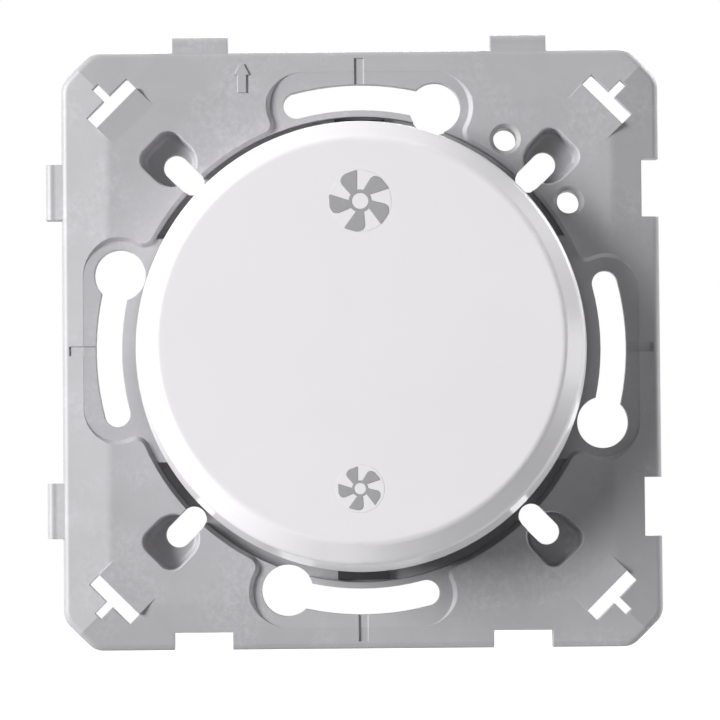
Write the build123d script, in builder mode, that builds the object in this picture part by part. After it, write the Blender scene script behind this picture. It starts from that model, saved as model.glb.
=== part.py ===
from build123d import *
from math import cos, hypot, radians, sin, sqrt
import os

os.makedirs("parts", exist_ok=True)

# A fan switch insert as it sits on the wall: +Z up, +X to the right, the front faces -Y.
# The origin is the middle of the mounting plate on the wall plane. Heights run from that
# plane to the front, and depths run from it into the wall box. Sizes are in millimetres.

# Mounting plate in plan
fixing_radius = 30.0
edge_margin = 5.62
corner_chamfer = 3.7
corner_round = 2.5
slot_width = 3.1
head_hole_radius = 3.05
head_hole_angle = 17.4
slot_end_angle = 14.5
head_hole_rim = 1.05
slot_end_rim = 1.6
head_recess_radius = 4.3
slot_recess_radius = 3.9
ring_web = 0.75
recess_margin = 2.6
pad_corner_round = 1.6
platform_half = 13.3

# Mounting plate in section
plateau_height = 4.0
edge_height = 3.0
recess_height = 3.45
well_height = 1.8
pad_wall = 1.6
recess_floor = 1.5
well_floor = 1.0
pocket_floor = 1.2
rib = 1.2
rim_wall = 3.0
recess_wall = 0.6
margin_round = 4.0
edge_round = 0.9
wall_draft = 40.0

# Frame catches and T-slots, measured along the plate's diagonals from its corners inwards
stem_to_corner = 3.25
stem_length = 1.95
stem_width = 0.95
bar_depth = 1.7
bar_length = 6.7
catch_length = 2.8
catch_rise = 0.15

# Funnel pockets with through slots on the diagonals
pocket_to_ring = 0.958
pocket_half_width = 2.85
pocket_corner_round = 1.6
pocket_length = 6.3
pocket_draft = 4.0
pocket_rim_round = 0.2
pocket_floor_round = 0.7
diagonal_slot_width = 3.0
diagonal_slot_inset = 0.8
diagonal_slot_to_rim = 2.4

# Small round holes beside the upper right pocket
pilot_hole_radius = 1.4
pilot_hole_rim = 0.45
pilot_hole_offset = 29.8
pilot_hole_pitch = 10.6

# Side grooves, coupling tabs and notches
groove_width = 1.1
groove_depth = 0.15
groove_to_edge = 0.9
coupling_offset = 19.0
tab_width = 6.6
tab_reach = 1.9
tab_height = 2.65
tab_ramp = 0.8
tab_ramp_round = 1.5
tab_edge_round = 0.8
coupling_play = 0.2

# Rocker and its pivot
throw = 4.5
pivot_height = 2.0
ring_gap = 0.95
cap_rim_height = 2.8
cap_side = 5.7
cap_bevel = 1.9
cap_side_inset = 0.65
cap_bevel_width = 2.3
cap_wall = 1.8
cap_edge_round = 1.0
cap_rim_round = 0.4
cap_rib = 1.2
cap_rib_depth = 1.8
carrier_plate = 1.8
carrier_half_length = 12.0
carrier_corner_round = 2.0
arm_thickness = 1.6
arm_half_width = 3.5
trunnion_radius = 2.0
running_fit = 0.05
leg_width = 5.0
leg_thickness = 1.6
leg_inset = 2.5
leg_barb = 0.5
leg_barb_height = 1.2
leg_play = 0.15

# Plunger, its tube and its spring
tube_radius = 3.6
tube_reach = 7.5
tube_end_wall = 2.2
plunger_radius = 2.15
plunger_reach = 12.6
plunger_tip_radius = 1.5
plunger_shoulder = 0.9
plunger_length = 9.6
spigot_radius = 1.1
spigot_length = 1.4
wire_radius = 0.25
spring_play = 0.1
spring_turns = 5.5

# Switch insert that drops into the plate's opening
insert_width = 38.0
insert_length = 40.0
insert_chamfer = 6.0
insert_gap = 0.3
insert_depth = 20.5
base_wall = 1.6
deck_thickness = 1.5
flange_thickness = 1.0
flange_overlap = 3.7
cheek_thickness = 2.0
cheek_half_width = 4.0
cheek_below = 4.2
cheek_to_wall = 0.6
side_play = 0.3
swing_room = 1.2
window_half_width = 2.8
window_length = 1.5
window_to_ring = 0.5
hook_play = 0.15
hook_leg = 0.9
hook_arm = 0.65
hook_barb = 0.4
hook_lap = 0.2
hook_seat_gap = 0.08
stop_length = 10.0
stop_thickness = 1.4
stop_gap = 0.2

# Contacts
blade_gap = 0.1
blade_thickness = 0.8
blade_width = 5.0
blade_end = 2.0
blade_room = 0.9
blade_corner_round = 1.0
blade_throw = 6.0
contact_to_end = 10.5
contact_gap = 0.06
contact_radius = 1.5
contact_dome = 0.25
blade_contact_height = 0.8
fixed_contact_height = 0.7
shank_radius = 0.8
strip_thickness = 0.8
strip_half_width = 2.0
strip_play = 0.1
knife_half_width = 0.6
knife_length = 4.4
knife_height = 1.0

# Wire clamps, ports and release levers
centre_half_width = 5.5
divider = 1.0
bus_height = 8.0
bus_half_width = 2.7
wire_window = 2.6
clamp_thickness = 0.4
clamp_half_width = 3.0
clamp_height = 7.2
clamp_bend_radius = 1.9
clamp_to_bus = 0.3
clamp_free_height = 3.6
port_size = 4.6
lever_inset = 2.5
lever_thickness = 2.6
lever_half_width = 3.0
lever_bar_height = 2.0
lever_finger = 1.3
lever_travel = 1.5
lever_proud = 1.6
lever_play = 0.15
lever_to_clamp = 0.2

# Screws that hold the base to the bearing frame
screw_to_end = 4.0
screw_radius = 1.1
screw_head_radius = 2.4
screw_head_height = 1.8
screw_grip = 6.3
screw_play = 0.2
screw_bite = 2.2
boss_wall = 1.7

# Sizes that follow from those above
plate_half = fixing_radius + edge_margin
ring_radius = fixing_radius - slot_width / 2 - ring_web
fall = (plateau_height - edge_height) / edge_margin
recess_reach = plate_half - recess_margin
corner_distance = sqrt(2) * plate_half - corner_chamfer / sqrt(2)
stem_end = corner_distance - stem_to_corner
bar_outer = stem_end - stem_length
bar_inner = bar_outer - bar_depth
catch_start = bar_inner - catch_length
pocket_inner = ring_radius + pocket_to_ring
pocket_outer = pocket_inner + pocket_length
diagonal_slot_outer = pocket_outer - diagonal_slot_to_rim
diagonal_slot_inner = ring_radius - diagonal_slot_inset
window_outer = ring_radius - window_to_ring
window_inner = window_outer - window_length
beyond = 2 * plate_half
tolerance = 0.01

cap_radius = ring_radius - ring_gap
cap_shoulder = cap_rim_height + cap_side
cap_top = cap_shoulder + cap_bevel
cap_side_radius = cap_radius - cap_side_inset
cap_face_radius = cap_side_radius - cap_bevel_width
cap_ceiling = cap_top - cap_wall
carrier_top = cap_ceiling - cap_rib_depth
carrier_bottom = carrier_top - carrier_plate
base_inner_half = insert_width / 2 - base_wall
cheek_outer = base_inner_half - cheek_to_wall
cheek_inner = cheek_outer - cheek_thickness
arm_outer = cheek_inner - side_play
arm_inner = arm_outer - arm_thickness
trunnion_end = cheek_outer - side_play
leg_outer = arm_inner - leg_inset
leg_inner = leg_outer - leg_thickness
leg_middle = carrier_half_length - leg_width / 2 - carrier_corner_round
bore_radius = plunger_radius + running_fit
bore_end = carrier_top - tube_end_wall
plunger_top = plunger_length - plunger_reach

deck_bottom = well_height - deck_thickness
flange_radius = insert_length / 2 + flange_overlap
carrier_rest = pivot_height + carrier_bottom * cos(radians(throw))
stop_top = carrier_rest - carrier_half_length * sin(radians(throw)) - stop_gap
hook_leg_inner = window_inner + hook_play
hook_leg_outer = hook_leg_inner + hook_leg
screw_offset = insert_length / 2 - screw_to_end
screw_seat = screw_grip - deck_bottom
screw_tip = well_height + screw_bite
boss_top = screw_tip + flange_thickness

blade_front = plunger_reach - pivot_height + blade_gap
blade_rear = blade_front + blade_thickness
contact_offset = insert_length / 2 - contact_to_end
blade_half_length = contact_offset + blade_end
block_start = blade_half_length + blade_room
dome_radius = (contact_radius**2 + contact_dome**2) / (2 * contact_dome)
contact_drop = contact_offset * sin(radians(blade_throw))
fixed_contact_front = blade_rear + contact_drop + blade_contact_height + contact_gap
strip_front = fixed_contact_front + fixed_contact_height
strip_rear = strip_front + strip_thickness
chamber_floor = insert_depth - base_wall
divider_outer = centre_half_width + divider
divider_middle = centre_half_width + divider / 2
bus_inner = base_inner_half - strip_thickness
port_centre = bus_inner - port_size / 2
clamp_seat = divider_outer + clamp_thickness / 2 + running_fit
clamp_bend = strip_front - clamp_height + clamp_bend_radius
clamp_turn = clamp_seat + 2 * clamp_bend_radius
clamp_end = bus_inner - clamp_to_bus - clamp_thickness
lever_inner = divider_outer + lever_inset
lever_outer = lever_inner + lever_thickness
lever_bar_half = contact_offset - port_size / 2
clamp_slope = clamp_free_height / (clamp_end - clamp_turn)
clamp_above_lever = clamp_bend + clamp_slope * (lever_outer - clamp_turn) + clamp_thickness
lever_finger_top = clamp_above_lever + lever_travel + lever_to_clamp


def front(height):
    """A plane parallel to the wall, at this height in front of it."""
    return Plane.XZ.offset(height)


def depth(distance):
    """A plane parallel to the wall, at this distance inside the wall box."""
    return front(-distance)


def section(angle):
    """A plane across the plate: local x points outwards at the angle, local y to the front."""
    turn = radians(angle)
    return Plane((0, 0, 0), x_dir=(cos(turn), 0, sin(turn)), z_dir=(sin(turn), 0, -cos(turn)))


def rocker_plane(height):
    """A plane of the rocker at rest, tilted so that its upper half is pressed in."""
    tilt = radians(throw)
    pivot = Plane((0, -pivot_height, 0), x_dir=(1, 0, 0), z_dir=(0, -cos(tilt), sin(tilt)))
    return pivot.offset(height)


def rocker_section():
    """The plane across the rocker through its axis: local x to the right, local y to the front."""
    tilt = radians(throw)
    return Plane((0, -pivot_height, 0), x_dir=(1, 0, 0), z_dir=(0, -sin(tilt), -cos(tilt)))


def rocker_side(distance):
    """A plane across the trunnions: local x up the rocker, local y to the front."""
    tilt = radians(throw)
    side = Plane((0, -pivot_height, 0), x_dir=(0, sin(tilt), cos(tilt)), z_dir=(1, 0, 0))
    return side.offset(distance)


def blade_plane(height):
    """A plane of the contact blade at rest, tilted so that its lower end is pressed back."""
    tilt = radians(blade_throw)
    rear = Plane((0, blade_rear, 0), x_dir=(1, 0, 0), z_dir=(0, -cos(tilt), -sin(tilt)))
    return rear.offset(height)


def blade_contact_section(along):
    """The plane through the axis of a contact rivet on the blade, this far up the blade."""
    tilt = radians(blade_throw)
    centre = blade_plane(0).from_local_coords((0, along, 0))
    return Plane(centre, x_dir=(1, 0, 0), z_dir=(0, sin(tilt), -cos(tilt)))


def insert_outline(gap):
    """The eight-sided outline of the switch insert, grown by a gap on every side."""
    with BuildSketch(mode=Mode.PRIVATE) as octagon:
        Rectangle(insert_width + 2 * gap, insert_length + 2 * gap)
        chamfer(octagon.vertices(), insert_chamfer + gap * (2 - sqrt(2)))
    return octagon.sketch


def keyhole_surround(inset):
    """The recess round one keyhole slot, on the +X side, with its outline moved in."""
    head_reach = fixing_radius * sin(radians(head_hole_angle)) + head_hole_radius + head_hole_rim
    slot_reach = fixing_radius * sin(radians(slot_end_angle)) + slot_width / 2 + slot_end_rim
    head_centre = (recess_reach - head_recess_radius, head_recess_radius - head_reach)
    slot_centre = (recess_reach - slot_recess_radius, slot_reach - slot_recess_radius)
    middle = ((head_centre[0] + slot_centre[0]) / 2, (head_centre[1] + slot_centre[1]) / 2)
    with BuildSketch(mode=Mode.PRIVATE) as surround:
        with Locations(head_centre):
            Circle(head_recess_radius - inset)
        with Locations(slot_centre):
            Circle(slot_recess_radius - inset)
        with Locations((middle[0], middle[1])):
            Rectangle(
                2 * (recess_reach - inset - middle[0]),
                slot_centre[1] - head_centre[1],
            )
    return surround.sketch


def keyhole_slot():
    """One curved keyhole slot, on the +X side, with its round end below."""
    turn = head_hole_angle + slot_end_angle
    with BuildSketch(mode=Mode.PRIVATE) as keyhole:
        with BuildLine(mode=Mode.PRIVATE) as centre_line:
            CenterArc((0, 0), fixing_radius, -head_hole_angle, turn)
        SlotArc(centre_line.edge(), slot_width)
        with Locations(centre_line.edge() @ 0):
            Circle(head_hole_radius)
    return keyhole.sketch


def pocket_outline(grow):
    """The rim of one funnel pocket, pointing along +X, grown by a wall."""
    with BuildSketch(mode=Mode.PRIVATE) as rim:
        with Locations((pocket_outer + grow, 0)):
            Rectangle(
                pocket_length - pocket_half_width + grow,
                2 * (pocket_half_width + grow),
                align=(Align.MAX, Align.CENTER),
            )
        fillet(rim.vertices().group_by(Axis.X)[-1], pocket_corner_round)
        with Locations((pocket_inner + pocket_half_width, 0)):
            Circle(pocket_half_width + grow)
    return rim.sketch


# The space inside one funnel pocket, pointing along +X, with its bottom edge rounded
with BuildPart() as pocket_space:
    with BuildSketch(front(plateau_height)):
        add(pocket_outline(0))
    extrude(amount=pocket_floor - plateau_height, taper=pocket_draft)
    fillet(pocket_space.faces().sort_by(Axis.Y)[-1].edges(), pocket_floor_round)


with BuildPart() as mounting_plate:
    with BuildSketch(front(0)) as plate_outline:
        Rectangle(2 * plate_half, 2 * plate_half)
        chamfer(plate_outline.vertices(), corner_chamfer)
        fillet(plate_outline.vertices(), corner_round)
    extrude(amount=plateau_height)

    # The margins fall from the screw circle's square to the thinner outer edge
    for angle in (0, 90, 180, 270):
        with BuildSketch(section(angle)) as margin:
            with BuildLine():
                Polyline(
                    (fixing_radius - edge_margin, plateau_height),
                    (fixing_radius, plateau_height),
                    (plate_half + edge_margin, plateau_height - 2 * edge_margin * fall),
                    (plate_half + edge_margin, 2 * plateau_height),
                    (fixing_radius - edge_margin, 2 * plateau_height),
                    close=True,
                )
            make_face()
            crease = margin.vertices().filter_by(
                lambda corner: abs(corner.X - fixing_radius) < tolerance
            )
            fillet(crease, margin_round)
        extrude(amount=beyond, both=True, mode=Mode.SUBTRACT)
    sides = mounting_plate.faces().filter_by(lambda face: abs(face.normal_at().Y) < tolerance)
    front_rim = sides.edges().filter_by(lambda edge: edge.center().Y < tolerance - edge_height)
    fillet(front_rim, edge_round)

    # Rounded coupling tabs on the left and above
    tab_start = plate_half - edge_round
    tab_end = plate_half + tab_reach
    for angle in (90, 180):
        for offset_along in (-coupling_offset, coupling_offset):
            with BuildSketch(section(angle).offset(offset_along)):
                with BuildLine():
                    FilletPolyline(
                        (tab_start, 0),
                        (tab_start, edge_height),
                        (plate_half + tab_ramp, tab_height),
                        (tab_end, tab_height),
                        (tab_end, 0),
                        radius=[0, tab_ramp_round, tab_edge_round],
                    )
                    Line((tab_end, 0), (tab_start, 0))
                make_face()
            extrude(amount=tab_width / 2, both=True)

    # Sloping catches for the cover frame, one on each diagonal
    for angle in (45, 135, 225, 315):
        with BuildSketch(section(angle)):
            with BuildLine():
                Polyline(
                    (catch_start, plateau_height),
                    (bar_inner, plateau_height + catch_rise),
                    (bar_inner, recess_height),
                    (catch_start, recess_height),
                    close=True,
                )
            make_face()
        extrude(amount=bar_length / 2, both=True)

    # Round well with the keyhole recesses, all with sloping sides
    with BuildSketch(front(recess_height)) as recess:
        Circle(ring_radius)
        with PolarLocations(0, 4):
            add(keyhole_surround(0))
        corners = recess.vertices().filter_by(
            lambda corner: abs(hypot(corner.X, corner.Y) - ring_radius) < tolerance
        )
        fillet(corners, pad_corner_round)
    extrude(amount=plateau_height - recess_height + edge_round, taper=-wall_draft, mode=Mode.SUBTRACT)

    # Deep floors above and below the pivot platforms
    with BuildSketch(front(well_height)):
        Circle(ring_radius)
        Rectangle(beyond, 2 * platform_half, mode=Mode.SUBTRACT)
    extrude(amount=plateau_height, mode=Mode.SUBTRACT)

    # Hollow back: pads, margins, keyhole floors and the floors of the well
    with BuildSketch(front(0)):
        Rectangle(2 * (plate_half - rim_wall), 2 * (plate_half - rim_wall))
        Circle(ring_radius + rib, mode=Mode.SUBTRACT)
        with PolarLocations(0, 4):
            add(keyhole_surround(-rib), mode=Mode.SUBTRACT)
        with PolarLocations(0, 4, start_angle=45):
            add(pocket_outline(rib), mode=Mode.SUBTRACT)
        with PolarLocations(pilot_hole_offset, 1, start_angle=45):
            with GridLocations(0, pilot_hole_pitch, 1, 2):
                Circle(pilot_hole_radius + pilot_hole_rim + rib, mode=Mode.SUBTRACT)
    extrude(amount=plateau_height - pad_wall, mode=Mode.SUBTRACT)
    with BuildSketch(front(0)):
        with PolarLocations(0, 4):
            add(keyhole_surround(recess_wall))
        Circle(ring_radius + ring_web, mode=Mode.SUBTRACT)
    extrude(amount=recess_height - recess_floor, mode=Mode.SUBTRACT)
    with BuildSketch(front(0)):
        Circle(ring_radius - rib)
    extrude(amount=well_height - well_floor, mode=Mode.SUBTRACT)
    with BuildSketch(front(0)):
        Circle(ring_radius - rib)
        Rectangle(beyond, 2 * (platform_half - rib), mode=Mode.INTERSECT)
    extrude(amount=recess_height - recess_floor, mode=Mode.SUBTRACT)

    # Funnel pockets on the diagonals
    for angle in (45, 135, 225, 315):
        add(pocket_space.part, rotation=(0, angle, 0), mode=Mode.SUBTRACT)
    corner_areas = mounting_plate.faces().filter_by(
        lambda face: abs(face.center().Y + plateau_height) < tolerance
    )
    pocket_rims = [rim for area in corner_areas for rim in area.inner_wires()]
    fillet([edge for rim in pocket_rims for edge in rim.edges()], pocket_rim_round)

    # Openings right through the plate
    with BuildSketch(front(0)):
        add(insert_outline(insert_gap))
        with PolarLocations(0, 4):
            add(keyhole_slot())
        with PolarLocations((diagonal_slot_outer + diagonal_slot_inner) / 2, 4, start_angle=45):
            SlotOverall(diagonal_slot_outer - diagonal_slot_inner, diagonal_slot_width)
        with PolarLocations((bar_outer + bar_inner) / 2, 4, start_angle=45):
            Rectangle(bar_depth, bar_length)
        with PolarLocations((stem_end + bar_inner) / 2, 4, start_angle=45):
            Rectangle(stem_end - bar_inner, stem_width)
        with PolarLocations(window_outer - window_length / 2, 2, start_angle=90):
            Rectangle(window_length, 2 * window_half_width)
        with PolarLocations(pilot_hole_offset, 1, start_angle=45):
            with GridLocations(0, pilot_hole_pitch, 1, 2):
                Circle(pilot_hole_radius)
    extrude(amount=beyond, both=True, mode=Mode.SUBTRACT)

    # Countersinks of the two small holes
    with BuildSketch(front(plateau_height)):
        with PolarLocations(pilot_hole_offset, 1, start_angle=45):
            with GridLocations(0, pilot_hole_pitch, 1, 2):
                Circle(pilot_hole_radius + pilot_hole_rim)
    extrude(amount=-pilot_hole_rim, taper=45, mode=Mode.SUBTRACT)

    # Short marking grooves in the middle of each side
    for angle in (0, 90, 180, 270):
        with BuildSketch(section(angle)):
            with BuildLine():
                Polyline(
                    (fixing_radius, recess_height - groove_depth),
                    (recess_reach, recess_height - groove_depth),
                    (plate_half - groove_to_edge, edge_height + groove_to_edge * fall - groove_depth),
                    (plate_half - groove_to_edge, plateau_height),
                    (fixing_radius, plateau_height),
                    close=True,
                )
            make_face()
        extrude(amount=groove_width / 2, both=True, mode=Mode.SUBTRACT)

    # Coupling notches on the right and below
    with BuildSketch(front(0)):
        with PolarLocations(plate_half, 2, start_angle=-90, angular_range=180):
            with GridLocations(0, 2 * coupling_offset, 1, 2):
                Rectangle(2 * (tab_reach + coupling_play), tab_width + 2 * coupling_play)
    extrude(amount=plateau_height, mode=Mode.SUBTRACT)

mounting_plate.part.label = "mounting_plate"
export_step(mounting_plate.part, "parts/mounting_plate.step")


rocker_axis = Axis(rocker_plane(0).origin, rocker_plane(0).z_dir)

with BuildPart() as rocker_cap:
    with BuildSketch(rocker_section()):
        with BuildLine():
            outer = FilletPolyline(
                (0, cap_top),
                (cap_face_radius, cap_top),
                (cap_side_radius, cap_shoulder),
                (cap_radius, cap_rim_height),
                (cap_radius - cap_wall, cap_rim_height),
                radius=[cap_edge_round, cap_edge_round, cap_rim_round],
            )
            Polyline(
                outer @ 1,
                (cap_side_radius - cap_wall, cap_shoulder - cap_wall / 2),
                (cap_face_radius - cap_wall / 2, cap_ceiling),
                (0, cap_ceiling),
                outer @ 0,
            )
        make_face()
    revolve(axis=rocker_axis)

    # Ribs that seat the cap on the carrier
    with BuildSketch(rocker_plane(carrier_top)):
        Rectangle(2 * arm_outer, cap_rib)
        Rectangle(cap_rib, 2 * carrier_half_length)
    extrude(amount=cap_rib_depth)

    # Four snap legs that reach through the carrier
    for along in (-leg_middle, leg_middle):
        for side in (-1, 1):
            catch = carrier_bottom - running_fit
            with BuildSketch(rocker_section().offset(along)):
                with BuildLine():
                    Polyline(
                        (side * leg_inner, cap_ceiling),
                        (side * leg_outer, cap_ceiling),
                        (side * leg_outer, catch),
                        (side * (leg_outer + leg_barb), catch),
                        (side * leg_outer, catch - leg_barb_height),
                        (side * leg_inner, catch - leg_barb_height),
                        close=True,
                    )
                make_face()
            extrude(amount=leg_width / 2, both=True)

rocker_cap.part.label = "rocker_cap"
export_step(rocker_cap.part, "parts/rocker_cap.step")


with BuildPart() as rocker_carrier:
    with BuildSketch(rocker_plane(carrier_bottom)):
        RectangleRounded(2 * arm_outer, 2 * carrier_half_length, carrier_corner_round)
        with GridLocations(leg_inner + leg_outer - leg_barb, 2 * leg_middle, 2, 2):
            Rectangle(
                leg_thickness + leg_barb + 2 * leg_play,
                leg_width + 2 * leg_play,
                mode=Mode.SUBTRACT,
            )
    extrude(amount=carrier_plate)

    # Arms down to the trunnions
    for side in (-1, 1):
        with BuildSketch(rocker_side(side * (arm_inner + arm_outer) / 2)):
            Circle(arm_half_width)
            with Locations((0, carrier_bottom / 2)):
                Rectangle(2 * arm_half_width, carrier_bottom)
        extrude(amount=arm_thickness / 2, both=True)
        with BuildSketch(rocker_side(side * (arm_inner + trunnion_end) / 2)):
            Circle(trunnion_radius)
        extrude(amount=(trunnion_end - arm_inner) / 2, both=True)

    # Plunger tube
    with BuildSketch(rocker_plane(-tube_reach)):
        Circle(tube_radius)
    extrude(amount=tube_reach + carrier_bottom)
    with BuildSketch(rocker_plane(-tube_reach)):
        Circle(bore_radius)
    extrude(amount=tube_reach + bore_end, mode=Mode.SUBTRACT)

rocker_carrier.part.label = "rocker_carrier"
export_step(rocker_carrier.part, "parts/rocker_carrier.step")


with BuildPart() as plunger:
    with BuildSketch(rocker_section()):
        with BuildLine():
            tip_top = plunger_tip_radius - plunger_reach
            tip = RadiusArc((0, -plunger_reach), (plunger_tip_radius, tip_top), -plunger_tip_radius)
            Polyline(
                tip @ 1,
                (plunger_radius, tip_top + plunger_shoulder),
                (plunger_radius, plunger_top),
                (spigot_radius, plunger_top),
                (spigot_radius, plunger_top + spigot_length),
                (0, plunger_top + spigot_length),
                tip @ 0,
            )
        make_face()
    revolve(axis=rocker_axis)

plunger.part.label = "plunger"
export_step(plunger.part, "parts/plunger.step")


with BuildPart() as plunger_spring:
    coil_radius = bore_radius - wire_radius - spring_play
    coil_length = bore_end - plunger_top - 2 * wire_radius
    coil_start = rocker_plane(plunger_top + wire_radius)
    with BuildLine() as coil:
        Helix(
            pitch=coil_length / spring_turns,
            height=coil_length,
            radius=coil_radius,
            center=coil_start.origin,
            direction=coil_start.z_dir,
        )
    with BuildSketch(Plane(coil.line @ 0, z_dir=coil.line % 0)):
        Circle(wire_radius)
    sweep(is_frenet=True)

plunger_spring.part.label = "plunger_spring"
export_step(plunger_spring.part, "parts/plunger_spring.step")


with BuildPart() as bearing_frame:
    with BuildSketch(front(deck_bottom)):
        add(insert_outline(0))
    extrude(amount=deck_thickness)

    # Flange segments that rest on the deep floors of the plate
    with BuildSketch(front(well_height)):
        Circle(flange_radius)
        Rectangle(beyond, 2 * (platform_half + side_play), mode=Mode.SUBTRACT)
    extrude(amount=flange_thickness)

    # Snap hooks through the plate's windows
    hook_top = well_height - well_floor - hook_seat_gap
    for angle in (90, 270):
        with BuildSketch(section(angle)):
            with BuildLine():
                Polyline(
                    (hook_leg_inner, well_height),
                    (hook_leg_inner, hook_top),
                    (hook_leg_inner - hook_barb, hook_top),
                    (hook_leg_inner, 0),
                    (hook_leg_outer, 0),
                    (hook_leg_outer, well_height),
                    close=True,
                )
            make_face()
        extrude(amount=window_half_width - hook_play, both=True)
    with BuildSketch(front(well_height)):
        Rectangle(2 * (window_half_width + hook_lap), 2 * (window_outer + hook_lap))
        Rectangle(beyond, insert_length, mode=Mode.SUBTRACT)
    extrude(amount=hook_arm)

    # Bosses for the screws and ribs that stop the carrier
    with BuildSketch(front(well_height)):
        with GridLocations(0, 2 * screw_offset, 1, 2):
            Circle(screw_radius + boss_wall)
    extrude(amount=boss_top - well_height)
    with BuildSketch(front(well_height)):
        with GridLocations(0, 2 * carrier_half_length - stop_thickness, 1, 2):
            Rectangle(stop_length, stop_thickness)
    extrude(amount=stop_top - well_height)

    # Room for the plunger tube and the carrier's arms
    with BuildSketch(front(deck_bottom)):
        Rectangle(2 * (tube_radius + swing_room), 2 * (tube_radius + swing_room))
        with GridLocations(arm_inner - side_play + cheek_inner, 0, 2, 1):
            Rectangle(cheek_inner - arm_inner + side_play, 2 * (arm_half_width + swing_room))
        with GridLocations(0, 2 * screw_offset, 1, 2):
            Circle(screw_radius + running_fit)
    extrude(amount=boss_top, mode=Mode.SUBTRACT)

    # Cheeks that carry the trunnions
    for side in (-1, 1):
        cheek_plane = section(90).offset(side * (cheek_inner + cheek_outer) / 2)
        with BuildSketch(cheek_plane):
            with Locations((0, pivot_height)):
                Circle(cheek_half_width)
                Rectangle(2 * cheek_half_width, cheek_below, align=(Align.CENTER, Align.MAX))
        extrude(amount=cheek_thickness / 2, both=True)
        with BuildSketch(cheek_plane):
            with Locations((0, pivot_height)):
                Circle(trunnion_radius + running_fit)
        extrude(amount=cheek_thickness / 2, both=True, mode=Mode.SUBTRACT)

bearing_frame.part.label = "bearing_frame"
export_step(bearing_frame.part, "parts/bearing_frame.step")


with BuildPart() as contact_base:
    with BuildSketch(depth(insert_depth)):
        add(insert_outline(0))
    extrude(amount=insert_depth + deck_bottom)
    with BuildSketch(depth(chamber_floor)):
        add(insert_outline(-base_wall))
    extrude(amount=chamber_floor + deck_bottom, mode=Mode.SUBTRACT)

    # Pedestal under the contacts, dividers beside them and blocks for the screws
    with BuildSketch(depth(chamber_floor)):
        Rectangle(2 * divider_outer, insert_length - base_wall)
    extrude(amount=chamber_floor - strip_rear)
    with BuildSketch(depth(strip_rear)):
        Rectangle(2 * divider_outer, insert_length - base_wall)
        Rectangle(2 * centre_half_width, 2 * block_start, mode=Mode.SUBTRACT)
    extrude(amount=strip_rear + deck_bottom)

    # Slots for the terminal strips
    with BuildSketch(depth(strip_rear)):
        with Locations(
            (-divider_middle, 0),
            (divider_middle, -contact_offset),
            (divider_middle, contact_offset),
        ):
            Rectangle(divider, 2 * (strip_half_width + strip_play))
    extrude(amount=strip_thickness + strip_play, mode=Mode.SUBTRACT)

    # Cored rear, wire ports, lever openings and screw holes
    with BuildSketch(depth(insert_depth)):
        Rectangle(2 * (divider_outer - base_wall), 2 * (block_start - base_wall))
    extrude(amount=insert_depth - strip_rear - base_wall, mode=Mode.SUBTRACT)
    with BuildSketch(depth(insert_depth)):
        with GridLocations(2 * port_centre, 2 * contact_offset, 2, 2):
            Rectangle(port_size, port_size)
        with GridLocations(lever_inner + lever_outer, 0, 2, 1):
            Rectangle(lever_thickness + 2 * lever_play, 2 * (lever_half_width + lever_play))
    extrude(amount=base_wall, mode=Mode.SUBTRACT)
    with BuildSketch(depth(insert_depth)):
        with GridLocations(0, 2 * screw_offset, 1, 2):
            Circle(screw_head_radius + screw_play)
    extrude(amount=insert_depth - screw_seat, mode=Mode.SUBTRACT)
    with BuildSketch(depth(screw_seat)):
        with GridLocations(0, 2 * screw_offset, 1, 2):
            Circle(screw_radius + screw_play)
    extrude(amount=screw_grip, mode=Mode.SUBTRACT)

contact_base.part.label = "contact_base"
export_step(contact_base.part, "parts/contact_base.step")


with BuildPart() as base_screws:
    with BuildSketch(depth(screw_seat)):
        with GridLocations(0, 2 * screw_offset, 1, 2):
            Circle(screw_head_radius)
    extrude(amount=-screw_head_height)
    with BuildSketch(depth(screw_seat)):
        with GridLocations(0, 2 * screw_offset, 1, 2):
            Circle(screw_radius)
    extrude(amount=screw_seat + screw_tip)

base_screws.part.label = "base_screws"
export_step(base_screws.part, "parts/base_screws.step")


with BuildPart() as contact_blade:
    with BuildSketch(blade_plane(0)):
        RectangleRounded(blade_width, 2 * blade_half_length, blade_corner_round)
        with GridLocations(0, 2 * contact_offset, 1, 2):
            Circle(shank_radius + running_fit, mode=Mode.SUBTRACT)
    extrude(amount=blade_thickness)

contact_blade.part.label = "contact_blade"
export_step(contact_blade.part, "parts/contact_blade.step")

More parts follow.
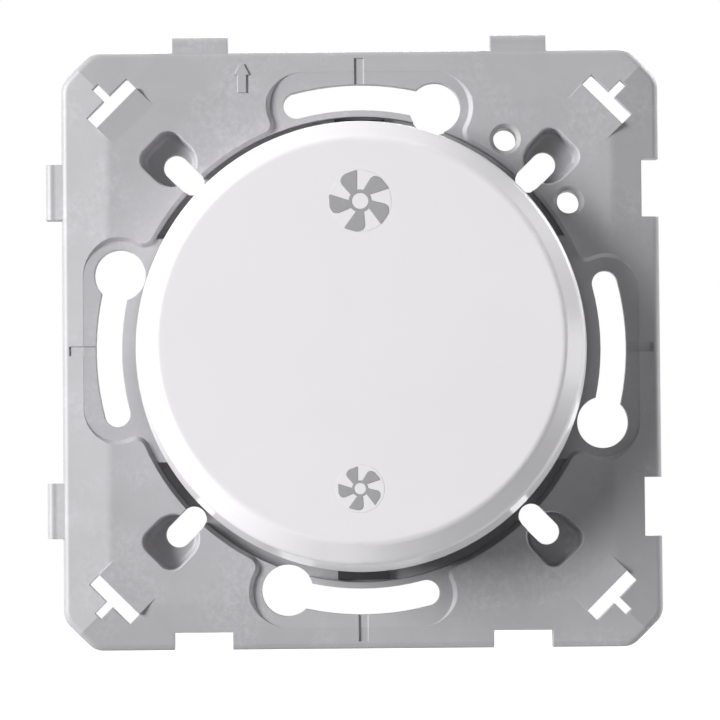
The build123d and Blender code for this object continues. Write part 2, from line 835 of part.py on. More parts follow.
# The blade's lower contact meets its fixed contact when the rocker's top is pressed
for speed, along in (("high", -contact_offset), ("low", contact_offset)):
    contact_plane = blade_contact_section(along)
    with BuildPart() as blade_contact:
        with BuildSketch(contact_plane):
            with BuildLine():
                dome_rim = (contact_radius, contact_dome - blade_contact_height)
                dome = RadiusArc((0, -blade_contact_height), dome_rim, -dome_radius)
                Polyline(
                    dome @ 1,
                    (contact_radius, 0),
                    (shank_radius, 0),
                    (shank_radius, blade_thickness),
                    (0, blade_thickness),
                    dome @ 0,
                )
            make_face()
        revolve(axis=Axis(contact_plane.origin, contact_plane.y_dir))
    blade_contact.part.label = "blade_contact_" + speed
    export_step(blade_contact.part, "parts/blade_contact_" + speed + ".step")

    with BuildPart() as fixed_contact:
        with BuildSketch(depth(strip_front)):
            with Locations((0, along)):
                Circle(contact_radius)
        extrude(amount=fixed_contact_height)
        with BuildSketch(depth(strip_rear)):
            with Locations((0, along)):
                Circle(shank_radius)
        extrude(amount=strip_thickness)
    fixed_contact.part.label = "fixed_contact_" + speed
    export_step(fixed_contact.part, "parts/fixed_contact_" + speed + ".step")

    with BuildPart() as terminal:
        with BuildSketch(depth(strip_rear)):
            with Locations((-strip_half_width, along)):
                Rectangle(
                    strip_half_width + base_inner_half,
                    2 * strip_half_width,
                    align=(Align.MIN, Align.CENTER),
                )
            with Locations((0, along)):
                Circle(shank_radius + running_fit, mode=Mode.SUBTRACT)
            with Locations((port_centre, along)):
                Rectangle(wire_window, wire_window, mode=Mode.SUBTRACT)
        extrude(amount=strip_thickness)
        with BuildSketch(depth(strip_rear)):
            with Locations((base_inner_half, along)):
                Rectangle(strip_thickness, 2 * bus_half_width, align=(Align.MAX, Align.CENTER))
        extrude(amount=bus_height)
    terminal.part.label = speed + "_terminal"
    export_step(terminal.part, "parts/" + speed + "_terminal.step")


with BuildPart() as common_terminal:
    with BuildSketch(depth(strip_rear)):
        with Locations((knife_length / 2, 0)):
            Rectangle(
                knife_length / 2 + base_inner_half,
                2 * strip_half_width,
                align=(Align.MAX, Align.CENTER),
            )
    extrude(amount=strip_thickness)
    with BuildSketch(depth(strip_rear)):
        with Locations((-base_inner_half, 0)):
            Rectangle(
                strip_thickness,
                2 * (contact_offset + bus_half_width),
                align=(Align.MIN, Align.CENTER),
            )
    extrude(amount=bus_height)

    # Knife edge that the blade rocks on
    edge_tip = -blade_rear - running_fit
    with BuildSketch(section(90)):
        with BuildLine():
            Polyline(
                (-knife_half_width, -strip_front),
                (-knife_half_width, edge_tip - knife_height),
                (0, edge_tip),
                (knife_half_width, edge_tip - knife_height),
                (knife_half_width, -strip_front),
                close=True,
            )
        make_face()
    extrude(amount=knife_length / 2, both=True)

common_terminal.part.label = "common_terminal"
export_step(common_terminal.part, "parts/common_terminal.step")


def clamp_spring(angle, middle):
    """A bent leaf in its chamber: the angle says which side, the middle how high it sits."""
    with BuildPart() as clamp:
        with BuildSketch(section(angle).offset(middle)):
            with BuildLine():
                leg = Line((clamp_seat, running_fit - strip_front), (clamp_seat, -clamp_bend))
                crest = (clamp_seat + clamp_bend_radius, clamp_bend_radius - clamp_bend)
                bend = ThreePointArc(leg @ 1, crest, (clamp_turn, -clamp_bend))
                Line(bend @ 1, (clamp_end, -clamp_bend - clamp_free_height))
            trace(line_width=clamp_thickness)
        extrude(amount=clamp_half_width, both=True)
    return clamp.part


clamp_places = {
    "low_clamp": (0, -contact_offset),
    "high_clamp": (0, contact_offset),
    "common_clamp_upper": (180, contact_offset),
    "common_clamp_lower": (180, -contact_offset),
}
for clamp_name, (angle, middle) in clamp_places.items():
    clamp_part = clamp_spring(angle, middle)
    clamp_part.label = clamp_name
    export_step(clamp_part, "parts/" + clamp_name + ".step")


for lever_name, side in (("release_left", -1), ("release_right", 1)):
    lever_middle = side * (lever_inner + lever_outer) / 2
    with BuildPart() as lever:
        with BuildSketch(depth(insert_depth + lever_proud)):
            with Locations((lever_middle, 0)):
                Rectangle(lever_thickness, 2 * lever_half_width)
        extrude(amount=lever_proud + base_wall)
        with BuildSketch(depth(chamber_floor)):
            with Locations((lever_middle, 0)):
                Rectangle(lever_thickness, 2 * lever_bar_half)
        extrude(amount=lever_bar_height)
        with BuildSketch(depth(chamber_floor)):
            with Locations((lever_middle, 0)):
                with GridLocations(0, 2 * lever_bar_half - lever_finger, 1, 2):
                    Rectangle(lever_thickness, lever_finger)
        extrude(amount=chamber_floor - lever_finger_top)
    lever.part.label = lever_name
    export_step(lever.part, "parts/" + lever_name + ".step")
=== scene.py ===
# %% [markdown]
# # A fan switch for a wall box, dressed in Blender
# The solids of this switch come ready from CAD: a grey mounting plate, a white rocker, and the black
# insert with its contacts behind them. This lesson loads them as a fixed frame, gives each one the
# finish of its real material, adds the printed and raised signs, and sets up light and camera.

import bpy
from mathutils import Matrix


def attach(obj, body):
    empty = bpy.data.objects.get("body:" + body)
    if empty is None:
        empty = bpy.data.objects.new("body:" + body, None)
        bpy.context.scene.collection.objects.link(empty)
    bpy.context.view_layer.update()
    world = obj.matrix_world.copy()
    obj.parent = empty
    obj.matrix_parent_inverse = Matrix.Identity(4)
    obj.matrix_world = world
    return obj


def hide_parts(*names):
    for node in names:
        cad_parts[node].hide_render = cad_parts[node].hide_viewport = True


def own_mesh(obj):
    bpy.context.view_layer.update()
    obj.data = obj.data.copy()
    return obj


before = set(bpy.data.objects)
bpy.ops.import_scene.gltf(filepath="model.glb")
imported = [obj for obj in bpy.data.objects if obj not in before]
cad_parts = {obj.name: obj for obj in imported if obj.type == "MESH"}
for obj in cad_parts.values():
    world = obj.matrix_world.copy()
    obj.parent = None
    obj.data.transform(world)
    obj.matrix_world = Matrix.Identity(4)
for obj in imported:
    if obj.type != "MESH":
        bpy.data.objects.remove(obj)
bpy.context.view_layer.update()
print("pieces from CAD:", len(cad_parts))

# %% [markdown]
# ## Units and colours
# Blender works in metres here, and the switch was measured in millimetres, so one value turns the
# one into the other. Colours are read off a screen as sRGB, while shaders work in linear light.
# One function does that step for every colour in the file.

# %% Millimetres and colours
import math

import bpy
from mathutils import Matrix, Vector

MM = 0.001


def linear(hex_colour):
    """An sRGB colour such as #C4C3C6 as linear red, green, blue and alpha."""
    shares = [int(hex_colour[i : i + 2], 16) / 255 for i in (1, 3, 5)]
    return [s / 12.92 if s <= 0.04045 else ((s + 0.055) / 1.055) ** 2.4 for s in shares] + [1.0]


print("white in linear light:", linear("#FFFFFF"))

# %% [markdown]
# ## One helper for shader nodes
# A material is a small graph. Wiring it by hand takes three lines for each node, so one helper adds
# a node, sets its options and fills its inputs. An input is either a plain value or another node's
# output, and the helper tells the two apart.

# %% Add a node


def add_node(tree, kind, inputs, **options):
    """Adds a node of this kind, with its options set and its inputs filled or linked."""
    made = tree.nodes.new(kind)
    for option, value in options.items():
        setattr(made, option, value)
    for socket, value in inputs.items():
        if isinstance(value, bpy.types.NodeSocket):
            tree.links.new(value, made.inputs[socket])
        else:
            made.inputs[socket].default_value = value
    return made


def new_material(name, **surface):
    """An empty material with one Principled surface, and its node tree."""
    material = bpy.data.materials.new(name)
    material.use_nodes = True
    tree = material.node_tree
    shader = tree.nodes["Principled BSDF"]
    for socket, value in surface.items():
        shader.inputs[socket.replace("_", " ")].default_value = value
    return material, tree, shader


print("node helper ready")

# %% [markdown]
# ## Pale bloom
# Grey plastic that has been handled and stored shows a pale bloom: fine light specks that gather in
# patches some millimetres wide. One noise at the size of the patches says where specks may be, and a
# finer one draws them. Multiplying the two keeps the specks inside the patches, which one noise alone
# can't do.

# %% A function for pale bloom
BLOOM_PATCH = 8.0
BLOOM_SPECK = 0.7
BLOOM_SHIFT = (3.0, 0.0, 1.0)


def pale_bloom(tree, place, colour, bloom):
    """The colour with specks of pale bloom on it, which lie in patches."""
    shift = [step * MM for step in BLOOM_SHIFT]
    at = add_node(tree, "ShaderNodeMapping", {"Vector": place, "Location": shift}).outputs["Vector"]
    patch = add_node(
        tree, "ShaderNodeTexNoise", {"Vector": at, "Scale": 1 / (BLOOM_PATCH * MM), "Detail": 2.0}
    )
    speck = add_node(
        tree,
        "ShaderNodeTexNoise",
        {"Vector": at, "Scale": 1 / (BLOOM_SPECK * MM), "Detail": 5.0, "Roughness": 0.7},
    )
    where = add_node(
        tree, "ShaderNodeMapRange", {"Value": patch.outputs["Fac"], "From Min": 0.46, "From Max": 0.66}
    )
    there = add_node(
        tree, "ShaderNodeMapRange", {"Value": speck.outputs["Fac"], "From Min": 0.42, "From Max": 0.72}
    )
    share = add_node(
        tree,
        "ShaderNodeMath",
        {0: where.outputs["Result"], 1: there.outputs["Result"]},
        operation="MULTIPLY",
    )
    mixed = add_node(
        tree, "ShaderNodeMix", {0: share.outputs[0], 6: colour, 7: linear(bloom)}, data_type="RGBA"
    )
    return mixed.outputs[2]


print("bloom lies in patches of", BLOOM_PATCH, "mm")

# %% [markdown]
# ## Moulded plastic
# Most of the switch is injection moulded. The steel mould leaves a skin on the plastic: a fine grain
# where the steel was spark eroded, a smooth gloss where it was polished. The melt also leaves faint
# lighter and darker flow marks. One function makes all these plastics, because they differ only in
# colour, grain and gloss. A soft edge radius in the normal stands for the small rounding that every
# mould gives its edges. It is a true shape that a bevel modifier could cut, but the solids' meshes stay
# as they are.

# %% A function for moulded plastics


def moulded_plastic(name, pale, dark, flow, grain, depth, gloss, swing, ior, rounding=0.12, bloom=None):
    """A moulded plastic: flow marks, grain and edges in millimetres, gloss as roughness, pale bloom."""
    material, tree, shader = new_material(name, IOR=ior)
    place = add_node(tree, "ShaderNodeTexCoord", {}).outputs["Object"]
    marks = add_node(
        tree,
        "ShaderNodeTexNoise",
        {"Vector": place, "Scale": 1 / (flow * MM), "Detail": 3.0, "Roughness": 0.55, "Distortion": 0.6},
    )
    shade = add_node(tree, "ShaderNodeValToRGB", {"Fac": marks.outputs["Fac"]})
    shade.color_ramp.elements[0].position = 0.3
    shade.color_ramp.elements[0].color = linear(dark)
    shade.color_ramp.elements[1].position = 0.7
    shade.color_ramp.elements[1].color = linear(pale)
    skin = add_node(
        tree, "ShaderNodeTexNoise", {"Vector": place, "Scale": 1 / (grain * MM), "Detail": 2.0}
    )
    sheen = add_node(
        tree,
        "ShaderNodeMapRange",
        {"Value": skin.outputs["Fac"], "To Min": gloss - swing, "To Max": gloss + swing},
    )
    edge = add_node(tree, "ShaderNodeBevel", {"Radius": rounding * MM}, samples=6)
    bump = add_node(
        tree,
        "ShaderNodeBump",
        {
            "Height": skin.outputs["Fac"],
            "Normal": edge.outputs["Normal"],
            "Distance": depth * MM,
            "Strength": 1.0,
        },
    )
    colour = shade.outputs["Color"]
    if bloom:
        colour = pale_bloom(tree, place, colour, bloom)
    tree.links.new(colour, shader.inputs["Base Color"])
    tree.links.new(sheen.outputs["Result"], shader.inputs["Roughness"])
    tree.links.new(bump.outputs["Normal"], shader.inputs["Normal"])
    return material


print("moulded plastics can be made")

# %% [markdown]
# ## The plastics of this switch
# The plate is grey ABS from a spark-eroded mould, so it looks even and satin, with a little bloom. The
# rocker cap is white ABS from a polished mould, with a soft gloss, hardly any grain and rounder edges.
# The insert is black polyamide with glass fibre, which is a little rough. The plunger is white acetal, a
# slippery and slightly creamy plastic, and the levers are pale grey polyamide.

# %% Five moulded plastics
grey_abs = moulded_plastic(
    "grey_abs_spark_eroded", "#B4B3B6", "#AFAEB1",
    flow=6.0, grain=0.30, depth=0.004, gloss=0.46, swing=0.05, ior=1.53, bloom="#C2C1C5",
)
white_abs = moulded_plastic(
    "white_abs_polished_mould", "#F3F1F4", "#F1EFF2",
    flow=14.0, grain=1.6, depth=0.0012, gloss=0.24, swing=0.02, ior=1.53, rounding=0.4,
)
black_polyamide = moulded_plastic(
    "black_polyamide_glass_filled", "#2A2A2C", "#1C1C1E",
    flow=2.0, grain=0.22, depth=0.006, gloss=0.48, swing=0.10, ior=1.53,
)
white_acetal = moulded_plastic(
    "white_acetal_moulded", "#ECEAE2", "#E4E2DA",
    flow=3.0, grain=0.4, depth=0.002, gloss=0.34, swing=0.05, ior=1.48,
)
pale_polyamide = moulded_plastic(
    "pale_grey_polyamide_moulded", "#BFC0C4", "#B5B6BA",
    flow=3.0, grain=0.25, depth=0.004, gloss=0.44, swing=0.06, ior=1.53,
)
print("plastics:", [m.name for m in (grey_abs, white_abs, black_polyamide, white_acetal, pale_polyamide)])

# %% [markdown]
# ## Metal with a drawn or rolled skin
# The metal pieces inside are stamped from rolled strip or drawn as wire, and rolling leaves fine lines
# along the strip. A noise that is stretched along one axis gives those lines. They drive the roughness
# and a shallow bump, and a second, larger noise darkens the metal where it has begun to tarnish.

# %% A function for worked metals


def worked_metal(name, bright, dull, line, stretch, gloss, swing, stain):
    """A metal with lines of this width in millimetres, longer along y by the stretch."""
    material, tree, shader = new_material(name, Metallic=1.0)
    place = add_node(tree, "ShaderNodeTexCoord", {}).outputs["Object"]
    along = add_node(tree, "ShaderNodeMapping", {"Vector": place, "Scale": (1.0, 1 / stretch, 1.0)})
    lines = add_node(
        tree,
        "ShaderNodeTexNoise",
        {"Vector": along.outputs["Vector"], "Scale": 1 / (line * MM), "Detail": 3.0},
    )
    tarnish = add_node(
        tree, "ShaderNodeTexNoise", {"Vector": place, "Scale": 1 / (stain * MM), "Detail": 4.0}
    )
    shade = add_node(tree, "ShaderNodeValToRGB", {"Fac": tarnish.outputs["Fac"]})
    shade.color_ramp.elements[0].position = 0.32
    shade.color_ramp.elements[0].color = linear(dull)
    shade.color_ramp.elements[1].position = 0.6
    shade.color_ramp.elements[1].color = linear(bright)
    sheen = add_node(
        tree,
        "ShaderNodeMapRange",
        {"Value": lines.outputs["Fac"], "To Min": gloss - swing, "To Max": gloss + swing},
    )
    bump = add_node(
        tree, "ShaderNodeBump", {"Height": lines.outputs["Fac"], "Distance": 0.003 * MM, "Strength": 1.0}
    )
    tree.links.new(shade.outputs["Color"], shader.inputs["Base Color"])
    tree.links.new(sheen.outputs["Result"], shader.inputs["Roughness"])
    tree.links.new(bump.outputs["Normal"], shader.inputs["Normal"])
    return material


print("worked metals can be made")

# %% [markdown]
# ## The metals of this switch
# Terminals and the contact blade are brass strip, yellow and slightly stained. Springs are blank spring
# steel, grey and fairly bright. The contacts are silver rivets, the palest metal here, and the two
# screws are steel with a bright zinc plating that has a cool tone.

# %% Four worked metals
brass = worked_metal("brass_rolled_strip", "#E3C27A", "#B98F4A", 0.12, 14.0, 0.30, 0.08, 3.0)
spring_steel = worked_metal("spring_steel_drawn", "#B9B9BC", "#8F8F94", 0.10, 10.0, 0.28, 0.07, 2.0)
silver = worked_metal("silver_headed_rivet", "#EDEBE6", "#D2CEC4", 0.15, 2.0, 0.24, 0.06, 1.0)
zinc_steel = worked_metal("steel_zinc_plated", "#CDD0D6", "#A9ADB6", 0.15, 3.0, 0.32, 0.08, 1.2)
print("metals:", [m.name for m in (brass, spring_steel, silver, zinc_steel)])

# %% [markdown]
# ## Each solid gets its finish
# A solid from CAD keeps its mesh and its place, so only its material is set. The table below follows
# the record's material slots, piece by piece.

# %% Hand out the materials
finish_of = {
    "mounting_plate": grey_abs,
    "rocker_cap": white_abs,
    "rocker_carrier": black_polyamide,
    "bearing_frame": black_polyamide,
    "contact_base": black_polyamide,
    "plunger": white_acetal,
    "plunger_spring": spring_steel,
    "base_screws": zinc_steel,
    "contact_blade": brass,
    "high_terminal": brass,
    "low_terminal": brass,
    "common_terminal": brass,
    "low_clamp": spring_steel,
    "high_clamp": spring_steel,
    "common_clamp_upper": spring_steel,
    "common_clamp_lower": spring_steel,
    "blade_contact_high": silver,
    "blade_contact_low": silver,
    "fixed_contact_high": silver,
    "fixed_contact_low": silver,
    "release_left": pale_polyamide,
    "release_right": pale_polyamide,
}
for node, finish in finish_of.items():
    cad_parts[node].data.materials.clear()
    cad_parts[node].data.materials.append(finish)
print("dressed:", len(finish_of), "of", len(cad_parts))

# %% [markdown]
# ## The plunger's coil
# A coil spring in the rocker's tube pushes the plunger out, and the real coil shortens when the plunger
# is pressed in. A rigid coil would be run through by the plunger. A copy of the solid's mesh takes its
# place. The copy moves with the rocker and has a mesh of its own, and the solid itself is hidden.

# %% A copy of the coil
coil = bpy.data.objects.new("plunger_coil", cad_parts["plunger_spring"].data.copy())
bpy.context.scene.collection.objects.link(coil)
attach(coil, "rocker")
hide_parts("plunger_spring")
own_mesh(coil)

# %% [markdown]
# ## The rocker's face
# The rocker rests with its upper half pressed in, so its face leans back at the top. Signs on it are
# drawn flat and then laid on the face with one matrix, whose axes run to the right, up the face and
# straight out of it.

# %% A matrix for the face
PIVOT_HEIGHT = 2.0
FACE_HEIGHT = 10.4
REST_TILT = math.radians(4.5)


def laid_on(origin, lean):
    """Axes on a front surface that leans by this angle: right, up the surface, and out of it."""
    right = Vector((1, 0, 0))
    up = Vector((0, math.sin(lean), math.cos(lean)))
    out = Vector((0, -math.cos(lean), math.sin(lean)))
    turn = Matrix((right, up, out)).transposed().to_4x4()
    return Matrix.Translation(Vector(origin) * MM) @ turn


def on_rocker(across, up, out):
    """A place on the rocker, in millimetres from the middle of its pivot."""
    tilted = laid_on((0, -PIVOT_HEIGHT, 0), REST_TILT)
    return tilted @ Matrix.Translation(Vector((across, up, out)) * MM)


print("face centre:", on_rocker(0, 0, FACE_HEIGHT).translation)

# %% [markdown]
# ## The fan signs
# Two fans are printed on the rocker, a large one above for the high speed and a small one below for the
# low speed. Each is one flat outline: five blades with round corners, joined by arcs of the hub, and a
# round hole in the middle. A curve suits this better than a mesh, because every round corner is one pair
# of Bezier points.

# %% Draw a fan
HUB_RADIUS = 1.35
HUB_HOLE = 0.95
BLADES = 5
BLADE_EDGE = -0.3165
BLADE_CORNERS = [((BLADE_EDGE, 3.74), 0.26), ((-2.20, 3.02), 0.62), ((-2.32, 2.16), 0.36)]
BLADE_ROOT = math.radians(146)
ROUNDING_PULL = 0.55


def rounded_corner(before, corner, after, cut):
    """Two Bezier points, as (place, left handle, right handle), that round one corner."""
    enter = corner + (before - corner).normalized() * cut
    leave = corner + (after - corner).normalized() * cut
    return [
        (enter, enter, enter.lerp(corner, ROUNDING_PULL)),
        (leave, leave.lerp(corner, ROUNDING_PULL), leave),
    ]


def fan_outline():
    """The fan's outer line, counter-clockwise, for a hub in the middle and blades swept to the left."""
    start_turn = math.acos(BLADE_EDGE / HUB_RADIUS)
    step = math.tau / BLADES
    sweep = start_turn + step - BLADE_ROOT
    pull = 4 / 3 * math.tan(sweep / 4)
    points = []
    for blade in range(BLADES):
        turn = Matrix.Rotation(step * blade, 2)
        root = Vector((math.cos(start_turn), math.sin(start_turn))) * HUB_RADIUS
        back = Vector((math.cos(BLADE_ROOT), math.sin(BLADE_ROOT))) * HUB_RADIUS
        stops = [root] + [Vector(place) for place, _ in BLADE_CORNERS] + [back]
        line = [(root, root - Vector((-root.y, root.x)) * pull, root)]
        for i, (_, cut) in enumerate(BLADE_CORNERS, start=1):
            line += rounded_corner(stops[i - 1], stops[i], stops[i + 1], cut)
        line.append((back, back, back + Vector((-back.y, back.x)) * pull))
        points += [tuple(turn @ p for p in point) for point in line]
    return points


print("fan outline points:", len(fan_outline()))

# %% [markdown]
# ## A filled sign
# Blender can fill a flat curve between its outlines, so a hole is just one more outline inside the first.
# The fill gets a small thickness, because ink is a film with a real height and relief stands proud. The
# back of the sign lies on the plane that it is placed on.

# %% Fill outlines


def circle_outline(radius):
    """A round line of four Bezier points."""
    pull = 4 / 3 * math.tan(math.tau / 16)
    ring = [Vector((math.cos(a), math.sin(a))) * radius for a in (0, math.pi / 2, math.pi, -math.pi / 2)]
    return [(p, p - Vector((-p.y, p.x)) * pull, p + Vector((-p.y, p.x)) * pull) for p in ring]


def filled_sign(name, outlines, thickness, scale, place, finish):
    """A flat sign of closed outlines, filled between them, with its back on the place's own plane."""
    curve = bpy.data.curves.new(name, "CURVE")
    curve.dimensions = "2D"
    curve.fill_mode = "BOTH"
    curve.resolution_u = 10
    curve.extrude = thickness * MM / 2
    for outline in outlines:
        spline = curve.splines.new("BEZIER")
        spline.bezier_points.add(len(outline) - 1)
        spline.use_cyclic_u = True
        for point, (at, left, right) in zip(spline.bezier_points, outline):
            point.handle_left_type = point.handle_right_type = "FREE"
            point.co = (at * scale * MM).to_3d()
            point.handle_left = (left * scale * MM).to_3d()
            point.handle_right = (right * scale * MM).to_3d()
    curve.materials.append(finish)
    sign = bpy.data.objects.new(name, curve)
    bpy.context.scene.collection.objects.link(sign)
    sign.matrix_world = place @ Matrix.Translation((0, 0, curve.extrude))
    return sign


print("circle outline points:", len(circle_outline(HUB_HOLE)))

# %% [markdown]
# ## Ink and the field below it
# The fans are pad printed in grey ink, which lies on the gloss as a duller film. Around each fan the
# face has a faint round field, a touch paler than the plastic, as a primer for the ink leaves it. The two
# films are about a hundredth of a millimetre thick, and the ink is the thicker one, so it stays on top.

# %% Print the two fans
grey_ink = moulded_plastic(
    "grey_pad_printing_ink", "#A6A5A7", "#A1A0A2",
    flow=0.8, grain=0.15, depth=0.002, gloss=0.5, swing=0.06, ior=1.5,
)
primer = moulded_plastic(
    "clear_printing_primer", "#F4F2F4", "#F2F0F2",
    flow=1.2, grain=0.5, depth=0.0008, gloss=0.26, swing=0.03, ior=1.5,
)
FIELD_FILM = 0.008
INK_FILM = 0.016
for level, across, up, scale, field in (
    ("high", 0.0, 16.25, 1.0, 3.68),
    ("low", -0.28, -17.4, 0.70, 2.85),
):
    spot = on_rocker(across, up, FACE_HEIGHT)
    below = filled_sign(f"print_field_{level}", [circle_outline(field)], FIELD_FILM, 1.0, spot, primer)
    outlines = [fan_outline(), circle_outline(HUB_HOLE)]
    fan = filled_sign(f"fan_sign_{level}", outlines, INK_FILM, scale, spot, grey_ink)
    for piece in (below, fan):
        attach(piece, "rocker")
    print(fan.name, "at", tuple(round(v / MM, 2) for v in fan.matrix_world.translation))

# %% [markdown]
# ## The raised arrow
# An arrow on the sloping top margin of the plate shows which way is up. It stands a fraction of a
# millimetre proud and was cut into the mould, so it has the plate's own plastic. A curve with a small
# bevel gives it soft sides that catch the light on the left and lose it on the right.

# %% Raise the arrow
ARROW_RIGHT = [(0.53, 0.0), (0.53, 2.2), (0.90, 2.2), (0.24, 3.55)]
ARROW = [(-0.53, 0.0)] + ARROW_RIGHT + [(-0.24, 3.55), (-0.90, 2.2), (-0.53, 2.2)]
ARROW_FOOT = (-13.95, 30.6)
ARROW_RISE = 0.12
MARGIN_START = 30.0
MARGIN_HEIGHT = 4.0
MARGIN_FALL = 1.0 / 5.62
foot_height = MARGIN_HEIGHT - MARGIN_FALL * (ARROW_FOOT[1] - MARGIN_START)
margin = laid_on((ARROW_FOOT[0], -foot_height, ARROW_FOOT[1]), math.atan(MARGIN_FALL))
corners = [(Vector(p), Vector(p), Vector(p)) for p in ARROW]
arrow = filled_sign("up_arrow", [corners], ARROW_RISE, 1.0, margin, grey_abs)
arrow.data.bevel_depth = 0.05 * MM
arrow.data.bevel_resolution = 3
arrow.data.offset = -0.05 * MM
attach(arrow, "insert")
print("arrow rises", ARROW_RISE, "mm above the margin")

# %% [markdown]
# ## White surroundings
# A switch is photographed on plain white. The world is white for the camera, for reflections and for
# whatever is seen through a clear piece. To all other rays it is black, so that the background never
# floods the object with light and the lamps alone shape it.

# %% The world
world = bpy.data.worlds.new("white_surroundings")
bpy.context.scene.world = world
world.use_nodes = True
sky = world.node_tree
sky.nodes.clear()
ray = add_node(sky, "ShaderNodeLightPath", {})
direct = add_node(
    sky,
    "ShaderNodeMath",
    {0: ray.outputs["Is Camera Ray"], 1: ray.outputs["Is Glossy Ray"]},
    operation="MAXIMUM",
)
seen = add_node(
    sky,
    "ShaderNodeMath",
    {0: direct.outputs[0], 1: ray.outputs["Is Transmission Ray"]},
    operation="MAXIMUM",
)
white = add_node(
    sky, "ShaderNodeBackground", {"Color": linear("#FFFFFF"), "Strength": seen.outputs[0]}
)
add_node(sky, "ShaderNodeOutputWorld", {"Surface": white.outputs[0]})
print("world:", world.name)

# %% [markdown]
# ## Pale board
# A matt board lies below the switch and takes its shadow. For the camera and in reflections it glows,
# less near the switch and up to full white farther out, so that its far edge melts into the background.
# To all other rays it is a dark grey board, so that it throws little light back up. A fine noise stands
# for the fibres of the board.

# %% The board's finish
BOARD_NEAR, BOARD_FAR = 60.0, 380.0
BOARD_FIBRE = 3.0
board, board_tree, board_shader = new_material("pale_matt_board", Roughness=0.9)
board_shader.inputs["Base Color"].default_value = linear("#808080")
board_place = add_node(board_tree, "ShaderNodeTexCoord", {}).outputs["Object"]
fibres = add_node(
    board_tree,
    "ShaderNodeTexNoise",
    {"Vector": board_place, "Scale": 1 / (BOARD_FIBRE * MM), "Detail": 4.0},
)
board_shade = add_node(board_tree, "ShaderNodeValToRGB", {"Fac": fibres.outputs["Fac"]})
board_shade.color_ramp.elements[0].color = linear("#FDFDFD")
board_shade.color_ramp.elements[1].color = linear("#FFFFFF")
reach = add_node(board_tree, "ShaderNodeVectorMath", {0: board_place}, operation="LENGTH")
glow = add_node(
    board_tree,
    "ShaderNodeMapRange",
    {
        "Value": reach.outputs["Value"],
        "From Min": BOARD_NEAR * MM,
        "From Max": BOARD_FAR * MM,
        "To Min": 0.74,
        "To Max": 1.0,
    },
)
board_tree.links.new(board_shade.outputs["Color"], board_shader.inputs["Emission Color"])
board_tree.links.new(glow.outputs["Result"], board_shader.inputs["Emission Strength"])
print("board glows fully from", BOARD_FAR, "mm")

# %% Pale to the eye, dark to the rest
board_ray = add_node(board_tree, "ShaderNodeLightPath", {})
board_seen = add_node(
    board_tree,
    "ShaderNodeMath",
    {0: board_ray.outputs["Is Camera Ray"], 1: board_ray.outputs["Is Glossy Ray"]},
    operation="MAXIMUM",
)
dark_side = add_node(board_tree, "ShaderNodeBsdfDiffuse", {"Color": linear("#303030")})
board_mix = add_node(
    board_tree,
    "ShaderNodeMixShader",
    {"Fac": board_seen.outputs[0], 1: dark_side.outputs[0], 2: board_shader.outputs[0]},
)
board_tree.links.new(board_mix.outputs[0], board_tree.nodes["Material Output"].inputs["Surface"])
print("board nodes:", len(board_tree.nodes))

# %% [markdown]
# ## The floor
# The board is one large flat face, a hand's breadth below the middle of the switch. Two of the lamps
# stand lower than it does, so it takes shadows but casts none.

# %% Lay the floor
FLOOR_LEVEL = -75.0
FLOOR_SIDE = 900.0
floor_mesh = bpy.data.meshes.new("floor")
floor_corners = [
    (x * FLOOR_SIDE * MM, y * FLOOR_SIDE * MM, FLOOR_LEVEL * MM)
    for x, y in ((-1, -1), (1, -1), (1, 1), (-1, 1))
]
floor_mesh.from_pydata(floor_corners, [], [(0, 1, 2, 3)])
floor_mesh.materials.append(board)
floor = bpy.data.objects.new("floor", floor_mesh)
bpy.context.scene.collection.objects.link(floor)
floor.visible_shadow = False
print("floor at", FLOOR_LEVEL, "mm")

# %% [markdown]
# ## Soft lamps
# The main light is a large soft box far out on the left, a little above and in front. It grazes the
# plate and leaves the cap's shadow as a broad dark sweep on the right. Dim strips and boxes above, at the
# right and below stand almost in the plate's own plane. They skim past its front and reach little more
# than the cap's round bevel. The last box stands high behind the switch and lights its back.

# %% Set the lamps


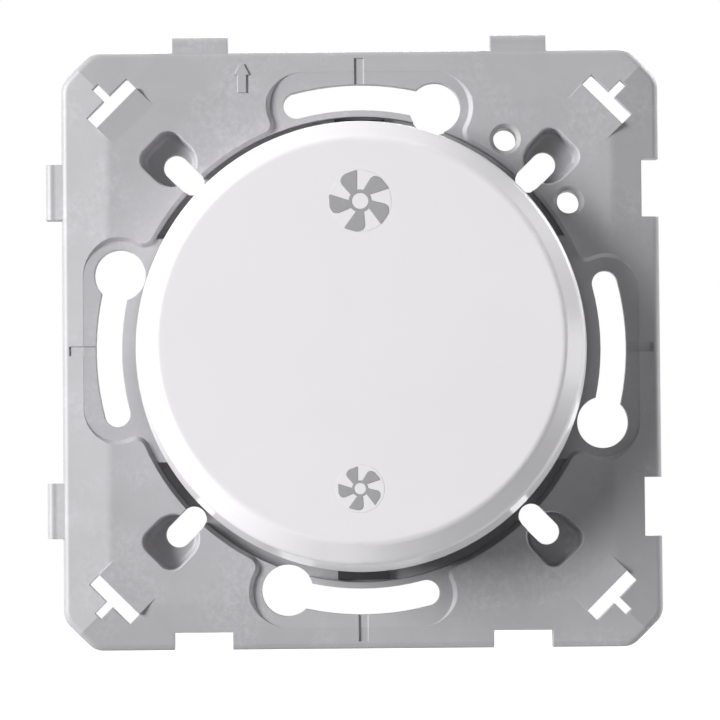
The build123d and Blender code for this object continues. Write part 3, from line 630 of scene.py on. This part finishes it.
def soft_box(name, at, width, height, watts):
    """A rectangular lamp in millimetres that faces the middle of the switch."""
    lamp = bpy.data.lights.new(name, "AREA")
    lamp.shape = "RECTANGLE"
    lamp.size = width * MM
    lamp.size_y = height * MM
    lamp.energy = watts
    box = bpy.data.objects.new(name, lamp)
    bpy.context.scene.collection.objects.link(box)
    box.location = Vector(at) * MM
    box.rotation_euler = box.location.to_track_quat("Z", "Y").to_euler()
    return box


lamps = [
    soft_box("soft_box_left", (-1270, -735, 310), 500, 900, 37.8),
    soft_box("strip_above", (0, -130, 740), 500, 160, 0.6),
    soft_box("strip_right_above", (585, 190, 430), 160, 300, 4.2),
    soft_box("soft_box_right", (740, -130, 0), 300, 300, 1.4),
    soft_box("soft_box_right_below", (530, -35, -530), 300, 300, 1.35),
    soft_box("soft_box_below", (0, -35, -750), 300, 300, 1.15),
    soft_box("soft_box_back", (100, 1000, 900), 700, 500, 10.0),
]
for box in lamps:
    print(box.name, "at", tuple(round(v / MM) for v in box.location), "mm,", box.data.energy, "W")

# %% [markdown]
# ## The camera
# The switch is seen from the front through a long lens, from a little below its middle, so the camera
# looks up by a small angle. It is also turned about its own axis by half a degree, as it was held.

# %% Place the camera
CAMERA_DISTANCE = 400.0
CAMERA_SIDE, CAMERA_LEVEL = -0.12, -14.2
CAMERA_PITCH, CAMERA_ROLL = 1.86, -0.488
camera_data = bpy.data.cameras.new("camera")
camera_data.lens = 166.9
camera_data.sensor_width = 36.0
camera_data.shift_x = -0.0005
camera = bpy.data.objects.new("camera", camera_data)
bpy.context.scene.collection.objects.link(camera)
upright = Matrix.Rotation(math.pi / 2 + math.radians(CAMERA_PITCH), 4, "X")
roll = Matrix.Rotation(math.radians(CAMERA_ROLL), 4, "Z")
camera.matrix_world = (
    Matrix.Translation(Vector((CAMERA_SIDE, -CAMERA_DISTANCE, CAMERA_LEVEL)) * MM) @ upright @ roll
)
bpy.context.scene.camera = camera
bpy.context.scene.view_settings.view_transform = "Standard"
print("camera at", tuple(round(v / MM, 1) for v in camera.location), "mm")
